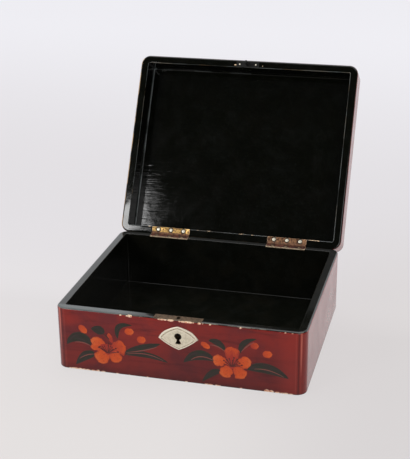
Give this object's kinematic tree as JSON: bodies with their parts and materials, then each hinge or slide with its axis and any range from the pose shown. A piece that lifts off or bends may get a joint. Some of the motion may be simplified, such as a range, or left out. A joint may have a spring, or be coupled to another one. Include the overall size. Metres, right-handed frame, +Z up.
{
  "type": "lacquer box",
  "caption": "Shallow rectangular wooden lacquer box with rounded corners, a hinged recessed lid standing open, butt hinges, a key lock and a painted front.",
  "frame": {"origin": "centre of the underside of the case, on the surface that it stands on", "axes": "+X to the right seen from the front, +Y to the back, where the hinges are, +Z up; stored with the lid open against its stop"},
  "size_m": [0.2424, 0.3227, 0.2393],
  "materials": {
    "red_lacquer": "red-brown gloss lacquer over wood",
    "black_lacquer": "black gloss lacquer over wood",
    "hinge_brass": "tarnished brass",
    "steel": "worn bright screw heads",
    "pale_metal": "pale champagne coloured stamped plate",
    "lock_brass": "dull lock brass",
    "dark_iron": "black oxidised iron"
  },
  "bodies": {
    "base": {"front_wall": "red_lacquer", "back_wall": "red_lacquer", "left_wall": "red_lacquer", "right_wall": "red_lacquer", "bottom_board": "black_lacquer", "escutcheon": "pale_metal", "escutcheon_pin_left": "pale_metal", "escutcheon_pin_right": "pale_metal", "lock_plate": "lock_brass", "lock_case": "lock_brass", "lock_spring": "steel", "drill_pin": "steel", "lock_screw_upper_left": "steel", "lock_screw_upper_right": "steel", "lock_screw_lower_left": "steel", "lock_screw_lower_right": "steel", "case_hinge_leaf_left": "hinge_brass", "hinge_pin_left": "hinge_brass", "case_hinge_screw_left_1": "steel", "case_hinge_screw_left_2": "steel", "case_hinge_screw_left_3": "steel", "case_hinge_leaf_right": "hinge_brass", "hinge_pin_right": "hinge_brass", "case_hinge_screw_right_1": "steel", "case_hinge_screw_right_2": "steel", "case_hinge_screw_right_3": "steel"},
    "lid": {"lid_front_rail": "black_lacquer", "lid_back_rail": "black_lacquer", "lid_left_rail": "black_lacquer", "lid_right_rail": "black_lacquer", "lid_top_panel": "black_lacquer", "lid_strike_plate": "dark_iron", "strike_nail_left": "steel", "strike_nail_right": "steel", "lid_hinge_leaf_left": "hinge_brass", "lid_hinge_screw_left_1": "steel", "lid_hinge_screw_left_2": "steel", "lid_hinge_screw_left_3": "steel", "lid_hinge_leaf_right": "hinge_brass", "lid_hinge_screw_right_1": "steel", "lid_hinge_screw_right_2": "steel", "lid_hinge_screw_right_3": "steel"},
    "lock_bolt": {"lock_bolt": "lock_brass"}
  },
  "joints": [
    {"name": "lid_hinge", "type": "hinge", "parent": "base", "child": "lid", "pos_m": [0, 0.099, 0.06365], "axis": [-1, 0, 0], "range_deg": [-119.5, 0]},
    {"name": "bolt_slide", "type": "slide", "parent": "base", "child": "lock_bolt", "axis": [1, 0, 0], "range_m": [0, 0.007]}
  ]
}
